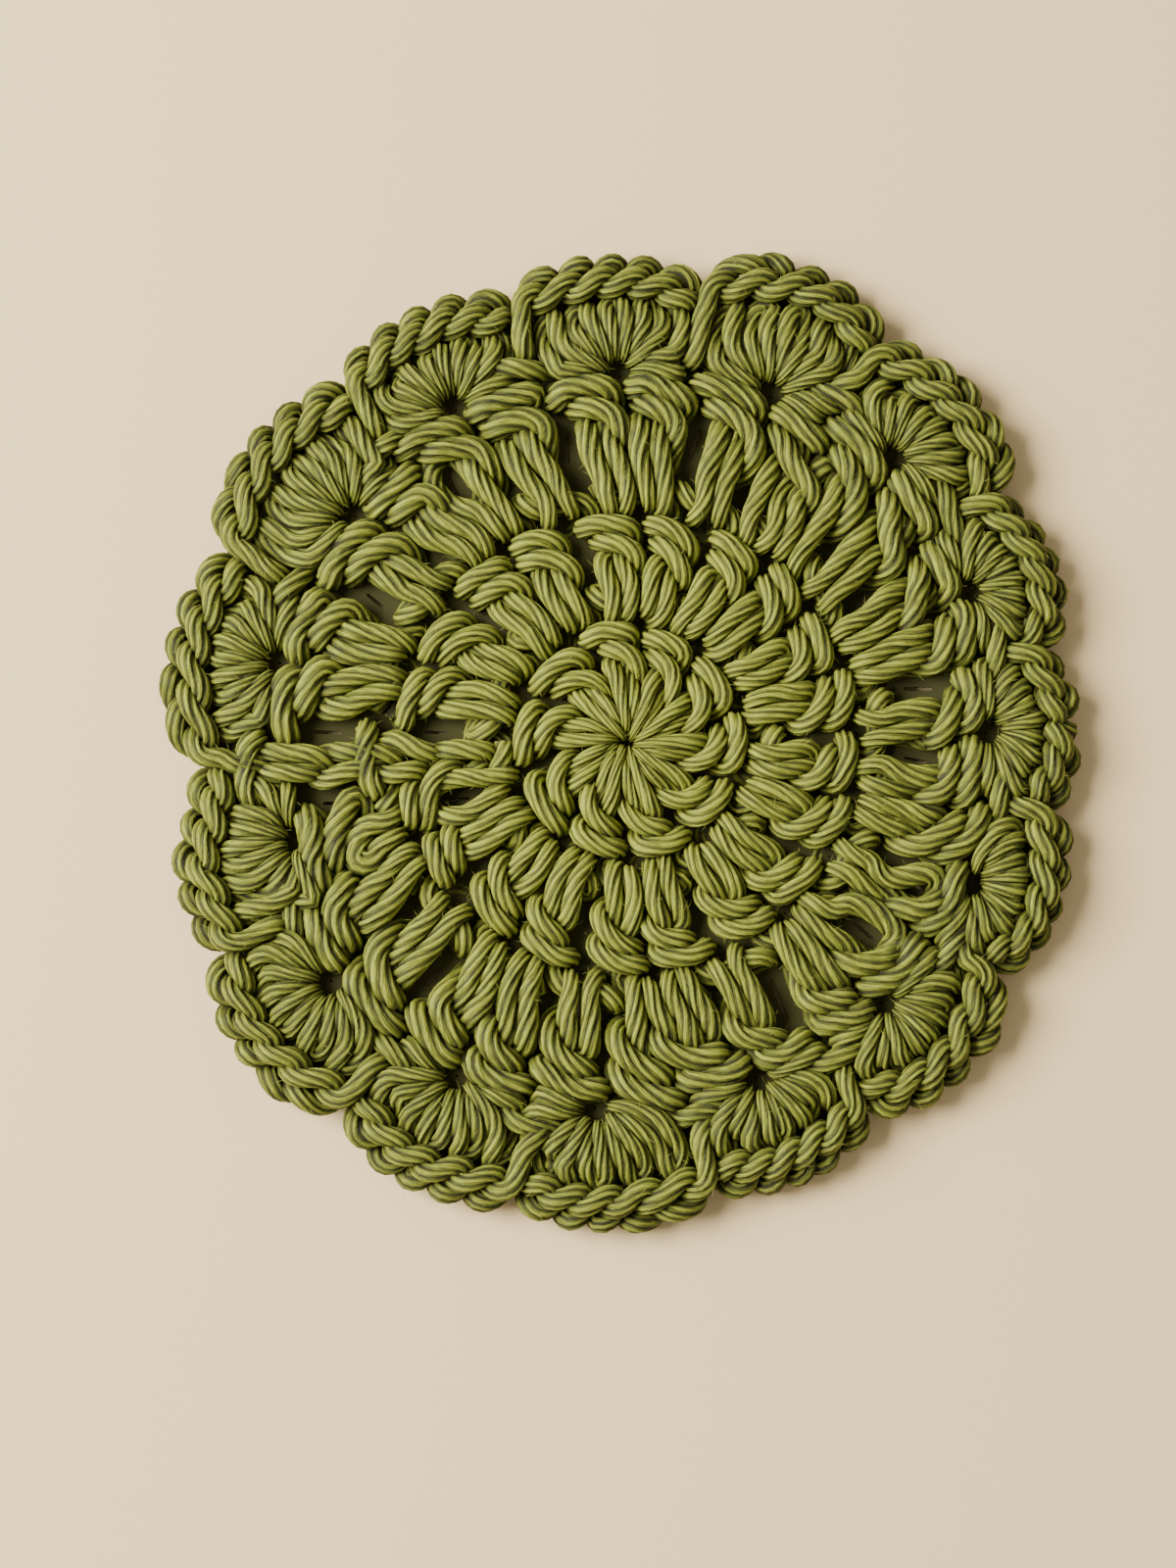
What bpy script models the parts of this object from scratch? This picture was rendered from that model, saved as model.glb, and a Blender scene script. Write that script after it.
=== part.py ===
"""A round crochet coaster: one flat, thick mat of cotton yarn, worked from the middle outwards.

Three rounds of tall stitches are followed by a round of fifteen shells, each a fan of five
stitches that all grow out of one small hole, the eye. A slip stitch pulls the rim in between
each two shells, which makes the scallops. The mat is one solid, because the real one is one
yarn: its stitches are raised on the upper face, and its widest gaps are cut right through.

Lengths are in millimetres until the mesh is made. Angles are in degrees, counter-clockwise
from +X, round the middle of the rounds. The mat rests on z = 0.
"""

import math

import bmesh
import bpy
import numpy as np

MM = 0.001

YARN = 2.5  # the yarn's diameter
GROUND = 2.8  # the level of the creases between the stitches
POST_TOP = 5.6  # the tops of the posts, above the underside
WRAP_TOP = 6.0
LOOP_TOP = 6.5  # the loops that edge each round are the highest
RIM_TOP = 6.2
RIM_SIDE = 2.4  # the level at which the rim reaches furthest out
RIM_ROUND = 1.1  # how far the rim's upper and lower edges are rounded in
SCALLOP_SHARPNESS = 0.6  # under 1 makes round scallops with narrow notches
DENT_ANGLE, DENT_DEPTH, DENT_SPREAD = 190.0, 2.6, 4.5  # the rim is drawn in beside the seam

ROUND_1 = 15.0  # radius of the first round's top edge
ROUND_2 = 28.0
SHELL_STITCHES = 5
LEAN_1 = 10.0  # how far the first round's stitches lean, in degrees round the middle
SEAM = (190.0, 186.0, 184.0)  # the column of chains: its angles at the first three rounds

# The holes that the second round is worked into, two stitches in each.
HOLES_1 = [204, 239, 275, 310, 345, 383, 415, 445, 480, 515]

# The holes that the third round is worked into, one and two stitches in turn.
HOLES_2 = [
    184, 204, 223, 241, 259, 277, 294, 313, 331, 348,
    363, 381, 397, 413, 430, 447, 466, 483, 501, 521,
]  # fmt: skip

# One row for each shell, counter-clockwise from the seam.
# notch: the angle and radius of the rim between this shell and the last
# eye: the angle and radius of the hole that the fan grows out of
# crest: the radius of the rim above the eye
SHELLS = [
    # notch deg, notch, eye deg,  eye, crest
    (184.0, 51.8, 196.5, 40.8, 57.0),
    (208.5, 56.0, 219.0, 45.2, 59.8),
    (233.5, 56.0, 243.0, 44.5, 59.4),
    (257.0, 57.0, 265.0, 43.6, 58.6),
    (282.0, 55.4, 291.0, 42.7, 56.8),
    (303.5, 52.8, 314.5, 43.3, 57.0),
    (329.5, 52.0, 337.5, 44.2, 56.0),
    (352.0, 52.6, 362.0, 43.2, 54.8),
    (374.0, 52.4, 384.0, 45.0, 57.0),
    (394.5, 55.4, 407.0, 47.0, 60.9),
    (418.5, 59.0, 427.5, 45.8, 63.0),
    (441.0, 57.6, 451.0, 44.7, 60.0),
    (465.0, 57.2, 477.0, 45.3, 59.0),
    (488.5, 56.2, 500.0, 42.5, 58.8),
    (515.0, 54.7, 527.0, 42.6, 56.8),
]

# The gaps that go right through, all of them long slots between two posts.
# lean: the slot's long way, counter-clockwise from the radius through it
GAPS = [
    # deg, radius, long, wide, lean
    (178.0, 35.7, 5.6, 2.2, 0),
    (192.0, 34.7, 6.0, 2.2, -12),
    (176.8, 22.7, 4.4, 1.9, 0),
    (198.5, 21.2, 4.2, 1.8, -10),
    (230.5, 36.2, 4.8, 1.9, -8),
    (300.7, 35.3, 7.0, 2.4, -8),
    (321.7, 36.0, 5.2, 2.5, -2),
    (334.5, 37.2, 6.6, 2.4, -14),
    (357.0, 34.6, 4.2, 1.8, -8),
    (371.0, 35.6, 5.4, 2.4, -10),
    (437.2, 37.2, 5.4, 2.0, -6),
    (461.3, 36.2, 4.8, 1.9, -4),
    (483.8, 37.4, 4.4, 1.9, -6),
    (510.4, 34.4, 4.6, 2.2, -10),
]

# The mesh of the upper face, one row for each round. Its columns follow the stitches, so that
# the creases between them stay sharp. In the last round they follow the shells.
MESH = [
    # columns, rings
    (6, 6),
    (5, 7),
    (5, 8),
    (16, 7),
]


def polar(degrees, radius):
    """The point in the plane at this angle and radius."""
    turn = math.radians(degrees)
    return np.array([radius * math.cos(turn), radius * math.sin(turn)])


def following(cyclic):
    """Each angle's next one counter-clockwise, the last one's next a full turn on."""
    return list(cyclic[1:]) + [cyclic[0] + 360]


def middles(cyclic):
    return [(a + b) / 2 for a, b in zip(cyclic, following(cyclic))]


def round_the_mat(degrees, knots, values):
    """The value at an angle, read smoothly from values at the knots all round."""
    at = (np.asarray(degrees, float) - knots[0]) % 360 + knots[0]
    knots = np.append(knots, knots[0] + 360)
    values = np.append(values, values[0])
    i = np.clip(np.searchsorted(knots, at, side="right") - 1, 0, len(knots) - 2)
    share = (at - knots[i]) / (knots[i + 1] - knots[i])
    ease = share * share * (3 - 2 * share)
    return values[i] + (values[i + 1] - values[i]) * ease


def eye_radius(degrees):
    """The radius of the third round's top edge, where the shells begin."""
    return round_the_mat(degrees, [row[2] for row in SHELLS], [row[3] for row in SHELLS])


def rim_radius(degrees):
    """The scalloped outline: a round crest over each eye and a notch between each two."""
    at = (np.atleast_1d(np.asarray(degrees, float)) - SHELLS[0][0]) % 360 + SHELLS[0][0]
    out = np.empty_like(at)
    ends = following([row[0] for row in SHELLS])
    for (start, notch, eye, _, crest), end, nearby in zip(SHELLS, ends, SHELLS[1:] + SHELLS[:1]):
        here = (at >= start) & (at < end)
        a = at[here]
        half = np.where(a < eye, (a - start) / (eye - start), 1 + (a - eye) / (end - eye)) / 2
        low = notch + (nearby[1] - notch) * half
        out[here] = low + (crest - low) * np.sin(math.pi * half) ** SCALLOP_SHARPNESS
    return out - DENT_DEPTH * np.exp(-(((at - DENT_ANGLE) / DENT_SPREAD) ** 2))


def creases_1():
    """The angles of the creases beside the first round's stitches, at its inner edge and at its
    outer one. A stitch stands between two creases."""
    return [hole - LEAN_1 for hole in HOLES_1], list(HOLES_1)


def creases_2():
    """The same for the second round. The chain comes first, between two creases of its own."""
    chain = [SEAM[0] - 5, SEAM[0] + 4]
    inner = list(chain)
    for hole, after in zip(HOLES_1, HOLES_1[1:]):
        inner += [hole, (hole + after) / 2]
    return inner + [HOLES_1[-1]], [SEAM[1] - 5.5, SEAM[1] + 3] + HOLES_2[1:]


def creases_3():
    """The same for the third round, where odd holes take two stitches and even ones take one."""
    inner = [SEAM[1] - 5, SEAM[1] + 4]
    for i, (hole, after) in enumerate(zip(HOLES_2[1:], following(HOLES_2)[1:])):
        inner += [hole, (hole + after) / 2] if i % 2 == 0 else [(hole + after) / 2]
    outer = [angle for row in SHELLS for angle in (row[0], row[2])]
    return inner[:-1], [SEAM[2] - 4] + outer[1:]


class Stroke:
    """A rounded ridge on the upper face: a line in the plane, its half width and its top."""

    def __init__(self, points, half_width, top):
        self.points = np.array(points, float)
        self.half_width = half_width
        self.top = top

    def height_over(self, places):
        """How high this ridge stands at each place; minus infinity away from it."""
        nearest = np.full(len(places), np.inf)
        for a, b in zip(self.points[:-1], self.points[1:]):
            along = b - a
            share = np.clip((places - a) @ along / max(along @ along, 1e-9), 0, 1)
            away = np.linalg.norm(places - a - share[:, None] * along, axis=1)
            nearest = np.minimum(nearest, away)
        off = nearest / self.half_width
        return np.where(off < 1.3, self.top - (self.top - GROUND) * off**2, -np.inf)


def stitch(base, top, last_top):
    """A tall stitch from its hole to its top: the post, the wrap across it, and the front loop
    that runs back to the last stitch's top. Right is clockwise."""
    up = top - base
    right = np.array([up[1], -up[0]]) / np.linalg.norm(up) * YARN
    inward = -top / np.linalg.norm(top) * YARN
    back = last_top - top
    post = Stroke([base + up * 0.08, base + up * 0.78], 0.8 * YARN, POST_TOP)
    wrap_ends = [base + up * 0.72 - right * 0.3, base + up * 0.42 + right * 0.9]
    loop_ends = [top + inward * 0.35, top + back * 0.45 + inward * 0.45, top + back * 0.8 + inward]
    return [
        post,
        Stroke(wrap_ends, 0.5 * YARN, WRAP_TOP),
        Stroke(loop_ends, 0.62 * YARN, LOOP_TOP),
    ]


def chain(base, top):
    """The column of three chains that starts a round: short arrowheads one above the other."""
    up = top - base
    right = np.array([up[1], -up[0]]) / np.linalg.norm(up) * YARN
    strokes = []
    for step in range(3):
        low, high = base + up * step / 3, base + up * (step + 1) / 3
        for side in (-0.6, 0.6):
            strokes.append(Stroke([low, high + right * side], 0.5 * YARN, POST_TOP))
    return strokes


def tall_rounds():
    """The strokes of the three rounds of tall stitches."""
    strokes = []
    rows = [
        (creases_1(), lambda a: 1.6, lambda a: ROUND_1, None),
        (creases_2(), lambda a: ROUND_1, lambda a: ROUND_2, SEAM[0:2]),
        (creases_3(), lambda a: ROUND_2, eye_radius, SEAM[1:3]),
    ]
    for (inner, outer), low, high, seam in rows:
        feet = [polar(a, low(a)) for a in middles(inner)]
        tops = [polar(a, high(a)) for a in middles(outer)]
        if seam:
            feet[0], tops[0] = polar(seam[0], low(0)), polar(seam[1], high(seam[1]))
            strokes += chain(feet[0], tops[0])
        for i in range(1 if seam else 0, len(feet)):
            strokes += stitch(feet[i], tops[i], tops[i - 1])
    return strokes


def shell_round():
    """The fans of five posts, the slip stitches between them, and the two loops of the rim."""
    strokes = []
    rim = []
    for (start, _, eye, eye_mm, _), end in zip(SHELLS, following([row[0] for row in SHELLS])):
        hole = polar(eye, eye_mm + 0.5)
        slip_foot = polar(start + 1.0, eye_radius(start) + 0.8)
        slip_top = polar(start - 0.8, rim_radius(start)[0] - 1.4 * YARN)
        strokes.append(Stroke([slip_foot, slip_top], 0.6 * YARN, WRAP_TOP))
        rim.append(start)
        for number in range(SHELL_STITCHES):
            share = (number + 1) / (SHELL_STITCHES + 1)
            angle = eye + (2 * share - 1) * (eye - start if share < 0.5 else end - eye)
            rim.append(angle)
            top = polar(angle, rim_radius(angle)[0] - 1.5 * YARN)
            out = (top - hole) / np.linalg.norm(top - hole)
            strokes.append(Stroke([hole + out * 1.4, top], 0.55 * YARN, POST_TOP))
    for angle, before in zip(rim, [rim[-1] - 360] + rim):
        here, back = rim_radius([angle, before])
        front = [polar(angle, here - 1.4 * YARN), polar(before, back - 0.7 * YARN)]
        strokes.append(Stroke(front, 0.6 * YARN, RIM_TOP))
    return strokes


def columns(cyclic, count):
    """The angles of the mesh's columns: this many from each crease to the next."""
    steps = np.arange(count) / count
    return np.concatenate([a + (b - a) * steps for a, b in zip(cyclic, following(cyclic))])


def shell_columns(count, gathered):
    """The angles of the last round's columns, gathered towards the eyes or evenly spread."""
    steps = np.arange(count // 2) / (count // 2)
    power = 0.7 if gathered else 1.0
    out = []
    for (start, _, eye, _, _), end in zip(SHELLS, following([row[0] for row in SHELLS])):
        out.append(start + (eye - start) * steps**power)
        out.append(eye + (end - eye) * (1 - (1 - steps) ** power))
    return np.concatenate(out)


def box_centre():
    """The middle of the outline's box. The rounds' own middle lies a little to one side of it."""
    degrees = shell_columns(MESH[-1][0], False)
    turn, radius = np.radians(degrees), rim_radius(degrees)
    x, y = radius * np.cos(turn), radius * np.sin(turn)
    return np.array([x.min() + x.max(), y.min() + y.max()]) / 2


class Ring:
    """A closed ring of vertices and the angles they stand at."""

    def __init__(self, mesh, degrees, radius, heights):
        turn = np.radians(degrees)
        radius = radius + 0 * turn
        corners = np.stack([radius * np.cos(turn), radius * np.sin(turn), heights + 0 * turn], 1)
        self.degrees = degrees
        self.verts = [mesh.verts.new(corner) for corner in corners * MM]


def fill_between(mesh, inner, outer):
    """Triangles between two rings of any counts, always to the vertex that comes next."""
    first = int(np.argmin(np.abs(outer.degrees - inner.degrees[0])))
    i = j = 0
    while i < len(inner.verts) or j < len(outer.verts):
        a = inner.verts[i % len(inner.verts)]
        b = outer.verts[(first + j) % len(outer.verts)]
        next_in = following(inner.degrees)[i] if i < len(inner.verts) else np.inf
        at = first + j
        turned = 360 * (at // len(outer.verts))
        next_out = following(outer.degrees)[at % len(outer.verts)] + turned
        if i < len(inner.verts) and (j == len(outer.verts) or next_in <= next_out):
            i += 1
            mesh.faces.new((a, b, inner.verts[i % len(inner.verts)]))
        else:
            j += 1
            mesh.faces.new((a, b, outer.verts[(first + j) % len(outer.verts)]))


def fill_middle(mesh, rim, height):
    middle = mesh.verts.new((0, 0, height * MM))
    for a, b in zip(rim.verts, rim.verts[1:] + rim.verts[:1]):
        mesh.faces.new((middle, a, b))


def upper_face(mesh, strokes):
    """The raised side, ring by ring from the middle to the rim. Returns the outermost ring."""

    def relief(degrees, radius):
        turn = np.radians(degrees)
        places = np.stack([radius * np.cos(turn), radius * np.sin(turn)], axis=1)
        return np.maximum.reduce([stroke.height_over(places) for stroke in strokes])

    (n1, _), (n2, _), (n3, _), (n4, _) = MESH
    bands = [
        (columns(creases_1()[0], n1), columns(creases_1()[1], n1)),
        (columns(creases_2()[0], n2), columns(creases_2()[1], n2)),
        (columns(creases_3()[0], n3), columns(creases_3()[1], n3)),
        (shell_columns(n4, True), shell_columns(n4, False)),
    ]
    edges = [
        lambda a: 0 * a,
        lambda a: 0 * a + ROUND_1,
        lambda a: 0 * a + ROUND_2,
        eye_radius,
        lambda a: rim_radius(a) - RIM_ROUND,
    ]
    last = None
    for (start, end), low, high, (_, rings) in zip(bands, edges, edges[1:], MESH):
        for step in range(1, rings + 1):
            share = step / rings
            degrees = start + (end - start) * share
            radius = low(degrees) + (high(degrees) - low(degrees)) * share
            heights = np.maximum(relief(degrees, radius), GROUND)
            here = Ring(mesh, degrees, radius, heights)
            if last is None:
                fill_middle(mesh, here, GROUND + 0.8)
            else:
                fill_between(mesh, last, here)
            last = here
    return last


def coaster_mesh():
    """The whole mat before its gaps are cut."""
    mesh = bmesh.new()
    edge = upper_face(mesh, tall_rounds() + shell_round())
    degrees = edge.degrees
    side = Ring(mesh, degrees, rim_radius(degrees), RIM_SIDE)
    foot = Ring(mesh, degrees, rim_radius(degrees) - RIM_ROUND, 0)
    fill_between(mesh, edge, side)
    fill_between(mesh, side, foot)
    last = foot
    for share, every in ((0.86, 2), (0.62, 4), (0.3, 8)):
        few = degrees[::every]
        here = Ring(mesh, few, rim_radius(few) * share, 0)
        fill_between(mesh, last, here)
        last = here
    fill_middle(mesh, last, 0)
    bmesh.ops.recalc_face_normals(mesh, faces=mesh.faces)
    return mesh


def gap_cutters():
    """One upright slot with round ends for each gap, all in one mesh."""
    mesh = bmesh.new()
    for degrees, radius, length, width, lean in GAPS:
        centre = polar(degrees, radius)
        along = polar(degrees + lean, 1)
        across = np.array([-along[1], along[0]])
        outline = []
        for end in (1, -1):
            for step in range(5):
                turn = math.radians(-90 + 45 * step)
                x = end * ((length - width) / 2 + width / 2 * math.cos(turn))
                y = end * width / 2 * math.sin(turn)
                outline.append(centre + along * x + across * y)
        bottom = mesh.faces.new([mesh.verts.new((x * MM, y * MM, -2 * MM)) for x, y in outline])
        raised = bmesh.ops.extrude_face_region(mesh, geom=[bottom])
        tops = [v for v in raised["geom"] if isinstance(v, bmesh.types.BMVert)]
        bmesh.ops.translate(mesh, verts=tops, vec=(0, 0, (LOOP_TOP + 4) * MM))
    bmesh.ops.recalc_face_normals(mesh, faces=mesh.faces)
    return mesh


def add_object(name, mesh):
    """The mesh as an object, moved so that the origin is under the middle of the mat's box."""
    x, y = -box_centre() * MM
    bmesh.ops.translate(mesh, verts=mesh.verts, vec=(x, y, 0))
    data = bpy.data.meshes.new(name)
    mesh.to_mesh(data)
    mesh.free()
    made = bpy.data.objects.new(name, data)
    bpy.context.scene.collection.objects.link(made)
    return made


def cotton():
    """Matt yellow-green cotton."""
    material = bpy.data.materials.new("green_cotton")
    material.use_nodes = True
    shader = material.node_tree.nodes["Principled BSDF"]
    shader.inputs["Base Color"].default_value = (0.21, 0.23, 0.045, 1)
    shader.inputs["Roughness"].default_value = 0.85
    shader.inputs["Metallic"].default_value = 0.0
    return material


def main():
    for old in list(bpy.data.objects):
        bpy.data.objects.remove(old, do_unlink=True)
    coaster = add_object("crochet_coaster", coaster_mesh())
    coaster.data.materials.append(cotton())
    cutter = add_object("gap_cutter", gap_cutters())
    cutter.hide_render = True
    cutter.display_type = "WIRE"
    cut = coaster.modifiers.new("gaps", "BOOLEAN")
    cut.operation = "DIFFERENCE"
    cut.object = cutter
    cut.solver = "EXACT"


main()
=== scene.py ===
# %% [markdown]
# # A crochet coaster
#
# The coaster is a flat, thick mat worked from one long strand of green cotton yarn. Four rounds
# grow from the middle outwards, and the last one is a row of fifteen shells, which make the
# scalloped rim. This lesson dresses the plain solid of the coaster with real strands of yarn:
# it lays the yarn's path stitch by stitch, lets the strands push each other into place, and
# then gives the path its thickness, its twist and its cotton.

import math

import bmesh
import bpy
import numpy as np
from mathutils import Matrix, Vector


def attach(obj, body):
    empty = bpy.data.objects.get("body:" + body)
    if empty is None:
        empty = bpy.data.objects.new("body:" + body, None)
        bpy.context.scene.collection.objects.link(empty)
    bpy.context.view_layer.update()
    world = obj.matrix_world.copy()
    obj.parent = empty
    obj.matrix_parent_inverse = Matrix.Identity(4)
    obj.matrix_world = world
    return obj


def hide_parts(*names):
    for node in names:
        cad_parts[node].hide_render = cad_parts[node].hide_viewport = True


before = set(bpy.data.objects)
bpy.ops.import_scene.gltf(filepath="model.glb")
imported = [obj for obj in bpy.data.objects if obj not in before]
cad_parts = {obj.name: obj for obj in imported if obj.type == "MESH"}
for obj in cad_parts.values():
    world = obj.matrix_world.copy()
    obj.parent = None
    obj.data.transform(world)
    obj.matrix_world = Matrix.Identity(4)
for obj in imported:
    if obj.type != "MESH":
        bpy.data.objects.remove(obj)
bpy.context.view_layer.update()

# %% [markdown]
# ## Where the stitches stand
#
# Crochet has a plan, and it is easiest to write down as small tables. Angles are in degrees,
# counter-clockwise from +X, and lengths are in millimetres. A round's stitches are hooked into
# holes under the loops of the round before. The first round grows out of a closed ring, the
# second puts two stitches into each hole, and the third puts one and two in turn. In the fourth,
# five stitches share a hole, the eye, which makes a fan, and a slip stitch holds the rim down
# between each two fans.

# %% The plan of the rounds
YARN = 2.6  # the yarn's diameter
ROUND_1 = 15.0  # radius of the first round's top edge
ROUND_2 = 28.0  # radius of the second round's top edge
SEAM = (190.0, 186.0, 184.0)  # the column of chains, at the tops of the first three rounds
SCALLOP_SHARPNESS = 0.6  # under 1 makes round scallops with narrow notches
DENT_ANGLE, DENT_DEPTH, DENT_SPREAD = 190.0, 2.6, 4.5  # the rim is drawn in beside the seam

# The holes that the second round is worked into.
HOLES_1 = [204, 239, 275, 310, 345, 383, 415, 445, 480, 515]

# The holes that the third round is worked into. The first is under the seam. After it, two
# stitches share a hole and one has the next to itself, in turn.
HOLES_2 = [
    184, 204, 223, 241, 259, 277, 294, 313, 331, 348,
    363, 381, 397, 413, 430, 447, 466, 483, 501, 521,
]  # fmt: skip

# One row for each shell, counter-clockwise from the seam. The notch is the rim between this
# shell and the last, the eye is the hole of the fan, and the crest is the rim above the eye.
SHELLS = [
    # notch deg, notch, eye deg,  eye, crest
    (184.0, 51.8, 196.5, 40.8, 57.0),
    (208.5, 56.0, 219.0, 45.2, 59.8),
    (233.5, 56.0, 243.0, 44.5, 59.4),
    (257.0, 57.0, 265.0, 43.6, 58.6),
    (282.0, 55.4, 291.0, 42.7, 56.8),
    (303.5, 52.8, 314.5, 43.3, 57.0),
    (329.5, 52.0, 337.5, 44.2, 56.0),
    (352.0, 52.6, 362.0, 43.2, 54.8),
    (374.0, 52.4, 384.0, 45.0, 57.0),
    (394.5, 55.4, 407.0, 47.0, 60.9),
    (418.5, 59.0, 427.5, 45.8, 63.0),
    (441.0, 57.6, 451.0, 44.7, 60.0),
    (465.0, 57.2, 477.0, 45.3, 59.0),
    (488.5, 56.2, 500.0, 42.5, 58.8),
    (515.0, 54.7, 527.0, 42.6, 56.8),
]
NOTCHES = [row[0] for row in SHELLS]

# The gaps between posts that go right through. lean turns the gap's long way off the radius,
# counter-clockwise.
GAPS = [
    # deg, radius, long, wide, lean
    (178.0, 35.7, 5.6, 2.2, 0.0),
    (192.0, 34.7, 6.0, 2.2, -12.0),
    (176.8, 22.7, 4.4, 1.9, 0.0),
    (198.5, 21.2, 4.2, 1.8, -10.0),
    (230.5, 36.2, 4.8, 1.9, -8.0),
    (300.7, 35.3, 7.0, 2.4, -8.0),
    (321.7, 36.0, 5.2, 2.5, -2.0),
    (334.5, 37.2, 6.6, 2.4, -14.0),
    (357.0, 34.6, 4.2, 1.8, -8.0),
    (371.0, 35.6, 5.4, 2.4, -10.0),
    (437.2, 37.2, 5.4, 2.0, -6.0),
    (461.3, 36.2, 4.8, 1.9, -4.0),
    (483.8, 37.4, 4.4, 1.9, -6.0),
    (510.4, 34.4, 4.6, 2.2, -10.0),
]
print(len(HOLES_1), "holes, then", len(HOLES_2), "holes, then", len(SHELLS), "shells")


# %% Helpers for places on the plan
def polar(degrees, radius):
    """The point in the plane at this angle and radius."""
    turn = math.radians(degrees)
    return np.array([radius * math.cos(turn), radius * math.sin(turn)])


def following(cyclic):
    """Each angle's next one counter-clockwise, the last one's next a full turn on."""
    return list(cyclic[1:]) + [cyclic[0] + 360]


def middles(cyclic):
    """The angles halfway between each angle and its next one."""
    return [(a + b) / 2 for a, b in zip(cyclic, following(cyclic))]


def eye_radius(degrees):
    """The radius of the third round's top edge, read smoothly from the shells' eyes."""
    knots = np.array([row[2] for row in SHELLS] + [SHELLS[0][2] + 360])
    values = np.array([row[3] for row in SHELLS] + [SHELLS[0][3]])
    at = (np.asarray(degrees, float) - knots[0]) % 360 + knots[0]
    i = np.clip(np.searchsorted(knots, at, side="right") - 1, 0, len(knots) - 2)
    share = (at - knots[i]) / (knots[i + 1] - knots[i])
    return values[i] + (values[i + 1] - values[i]) * share * share * (3 - 2 * share)


def rim_radius(degrees):
    """The scalloped outline: a round crest over each eye and a notch between each two."""
    at = (np.atleast_1d(np.asarray(degrees, float)) - NOTCHES[0]) % 360 + NOTCHES[0]
    out = np.empty_like(at)
    nearby_rows = SHELLS[1:] + SHELLS[:1]
    for (start, notch, eye, _, crest), end, nearby in zip(SHELLS, following(NOTCHES), nearby_rows):
        here = (at >= start) & (at < end)
        a = at[here]
        half = np.where(a < eye, (a - start) / (eye - start), 1 + (a - eye) / (end - eye)) / 2
        low = notch + (nearby[1] - notch) * half
        out[here] = low + (crest - low) * np.sin(math.pi * half) ** SCALLOP_SHARPNESS
    return out - DENT_DEPTH * np.exp(-(((at - DENT_ANGLE) / DENT_SPREAD) ** 2))


def box_centre():
    """The middle of the outline's box, which the origin stands under."""
    degrees = np.arange(0, 360, 0.5)
    x = rim_radius(degrees) * np.cos(np.radians(degrees))
    y = rim_radius(degrees) * np.sin(np.radians(degrees))
    return np.array([x.min() + x.max(), y.min() + y.max()]) / 2


print("The rounds' middle stands off the box's middle by", -box_centre(), "mm")

# %% [markdown]
# ## The path of the yarn
#
# A tall stitch, the double crochet, is made of loops drawn through each other. Seen from the
# front it shows two legs that rise out of the hole below, a wrap that crosses them and dips
# away to the right, and over them the front arm of the loop that closes the stitch. The same
# loop's other arm runs along the back, and two more strands climb the back of the post.
#
# A curve could be drawn by hand for one stitch and copied with an array, but no two stitches
# here are the same size. So the stitch is written once as a list of points that are measured
# from its hole, its top and the last stitch's top, and each stitch is laid from that list.

# %% A strand, and the hand that lays it
MIDDLE = 3.2  # height of the mat's middle layer above the table
HIGHEST = 6.5  # about how high the uppermost strands stand
LOOP_LINE = 1.4  # how far outside the holes the loops of a round lie


class Strand:
    """A run of yarn: the points that it passes, each with the yarn's thickness there."""

    def __init__(self):
        self.points = []

    def add(self, place, height, thick=1.0):
        self.points.append((place[0], place[1], MIDDLE + height, thick))


def unit(vector):
    """The same direction one unit long. It takes one vector or rows of them."""
    return vector / np.linalg.norm(vector, axis=-1, keepdims=True)


def hand(place, times=1.0):
    """How far the maker's hand strays at a place: between -1 and 1, and the same each time."""
    return math.sin(place[0] * 1.7 * times + 2.0) * math.cos(place[1] * 2.3 * times - 1.0)


print("At three places the hand strays", [round(hand(polar(a, ROUND_1)), 2) for a in (0, 30, 60)])


# %% The loop that closes a stitch
def lay_loop(strand, top, last_top, kind="middle"):
    """Lays the loop that closes a stitch: its front arm, its head round the foot of the next
    loop, and its back arm. It runs between the last stitch's top and this one's."""
    out = unit(top)
    arm = last_top - top
    rows = {
        # share of the way to the last top, outwards, height
        "rim": [
            (1.02, 0.3, 0.9),
            (0.85, 0.2, 2.1),
            (0.50, -0.7, 2.7),
            (0.12, -1.6, 2.3),
            (-0.18, -1.7, 1.0),
            (-0.36, -0.6, -0.1),
            (-0.30, 0.6, 0.0),
            (0.02, 1.1, 0.8),
            (0.45, 1.1, 1.2),
            (0.80, 0.7, 0.9),
            (0.98, 0.2, -0.4),
        ],
        "middle": [
            (0.90, -0.6, 0.2),
            (0.70, 0.2, 1.2),
            (0.40, 0.5, 1.4),
            (0.08, 0.6, 1.2),
            (-0.12, 0.9, 0.3),
            (-0.05, 1.3, -0.8),
            (0.30, 1.0, -1.4),
            (0.60, 0.4, -1.7),
        ],
        "under a fan": [
            (0.90, -0.6, -0.2),
            (0.70, 0.6, 0.2),
            (0.40, 1.0, 0.2),
            (0.08, 0.8, 0.4),
            (-0.12, 0.9, 0.0),
            (-0.05, 1.3, -0.8),
            (0.30, 1.4, -1.6),
            (0.60, 0.8, -1.8),
        ],
    }[kind]
    thick = 0.8 if kind == "under a fan" else 1.0  # the fan above pulls its loop tight
    for number, (along, outward, height) in enumerate(rows):
        astray = hand(top * (1 + number), 0.9)
        place = top + arm * (along + 0.06 * astray) + out * (outward + 0.35 * astray)
        strand.add(place, height, thick)


def practise(kind, lay, *places):
    """Lays one stitch on a strand of its own and says how many points the yarn passes."""
    strand = Strand()
    lay(strand, *places)
    print(kind, "passes", len(strand.points), "points")


practise("A loop", lay_loop, polar(0, ROUND_2), polar(18, ROUND_2))


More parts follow.
